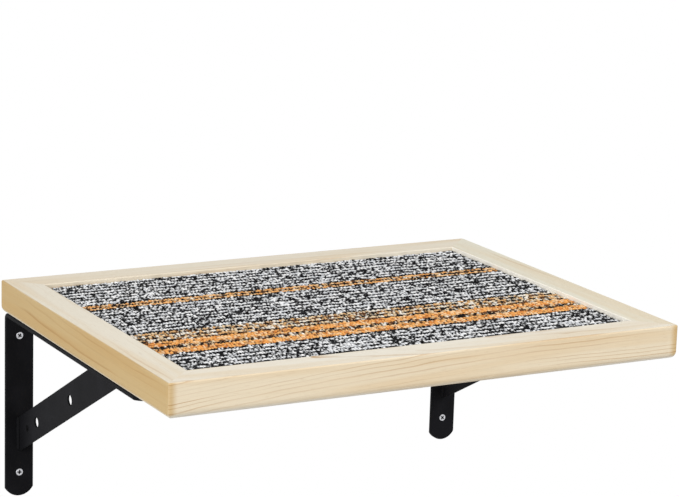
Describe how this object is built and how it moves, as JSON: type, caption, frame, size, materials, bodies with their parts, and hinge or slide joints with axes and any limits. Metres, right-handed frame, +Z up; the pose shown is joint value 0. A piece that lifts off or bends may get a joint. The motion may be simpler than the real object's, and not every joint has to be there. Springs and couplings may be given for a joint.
{
  "type": "cat wall shelf",
  "caption": "Wall shelf for a cat: a mitred pine frame with an inlaid striped carpet tile, carried on black steel strap brackets with welded diagonal braces.",
  "frame": {"origin": "middle of the four wall screws, on the wall", "axes": "+X along the wall to the right of someone facing the shelf, +Y into the wall, +Z up"},
  "size_m": [0.4, 0.317, 0.169],
  "materials": {
    "pine": "pale sanded pine, thin matt clear coat",
    "dowel_wood": "fluted beech dowel",
    "plywood": "unfinished plywood face",
    "carpet_backing": "dark bitumen-like tile backing",
    "carpet_pile": "loop pile in black, grey and white heather with orange stripes",
    "black_steel": "satin black powder coat",
    "zinc_screw": "bright zinc plating"
  },
  "bodies": {
    "root": {"front_rail": "pine", "rear_rail": "pine", "left_rail": "pine", "right_rail": "pine", "front_left_dowel": "dowel_wood", "front_right_dowel": "dowel_wood", "rear_left_dowel": "dowel_wood", "rear_right_dowel": "dowel_wood", "base_panel": "plywood", "carpet_backing": "carpet_backing", "carpet_pile": "carpet_pile", "left_bracket_strap": "black_steel", "right_bracket_strap": "black_steel", "left_bracket_brace": "black_steel", "right_bracket_brace": "black_steel", "left_bracket_welds": "black_steel", "right_bracket_welds": "black_steel", "upper_left_wall_screw": "zinc_screw", "upper_right_wall_screw": "zinc_screw", "lower_left_wall_screw": "zinc_screw", "lower_right_wall_screw": "zinc_screw", "front_left_board_screw": "zinc_screw", "front_right_board_screw": "zinc_screw", "rear_left_board_screw": "zinc_screw", "rear_right_board_screw": "zinc_screw"}
  },
  "joints": []
}
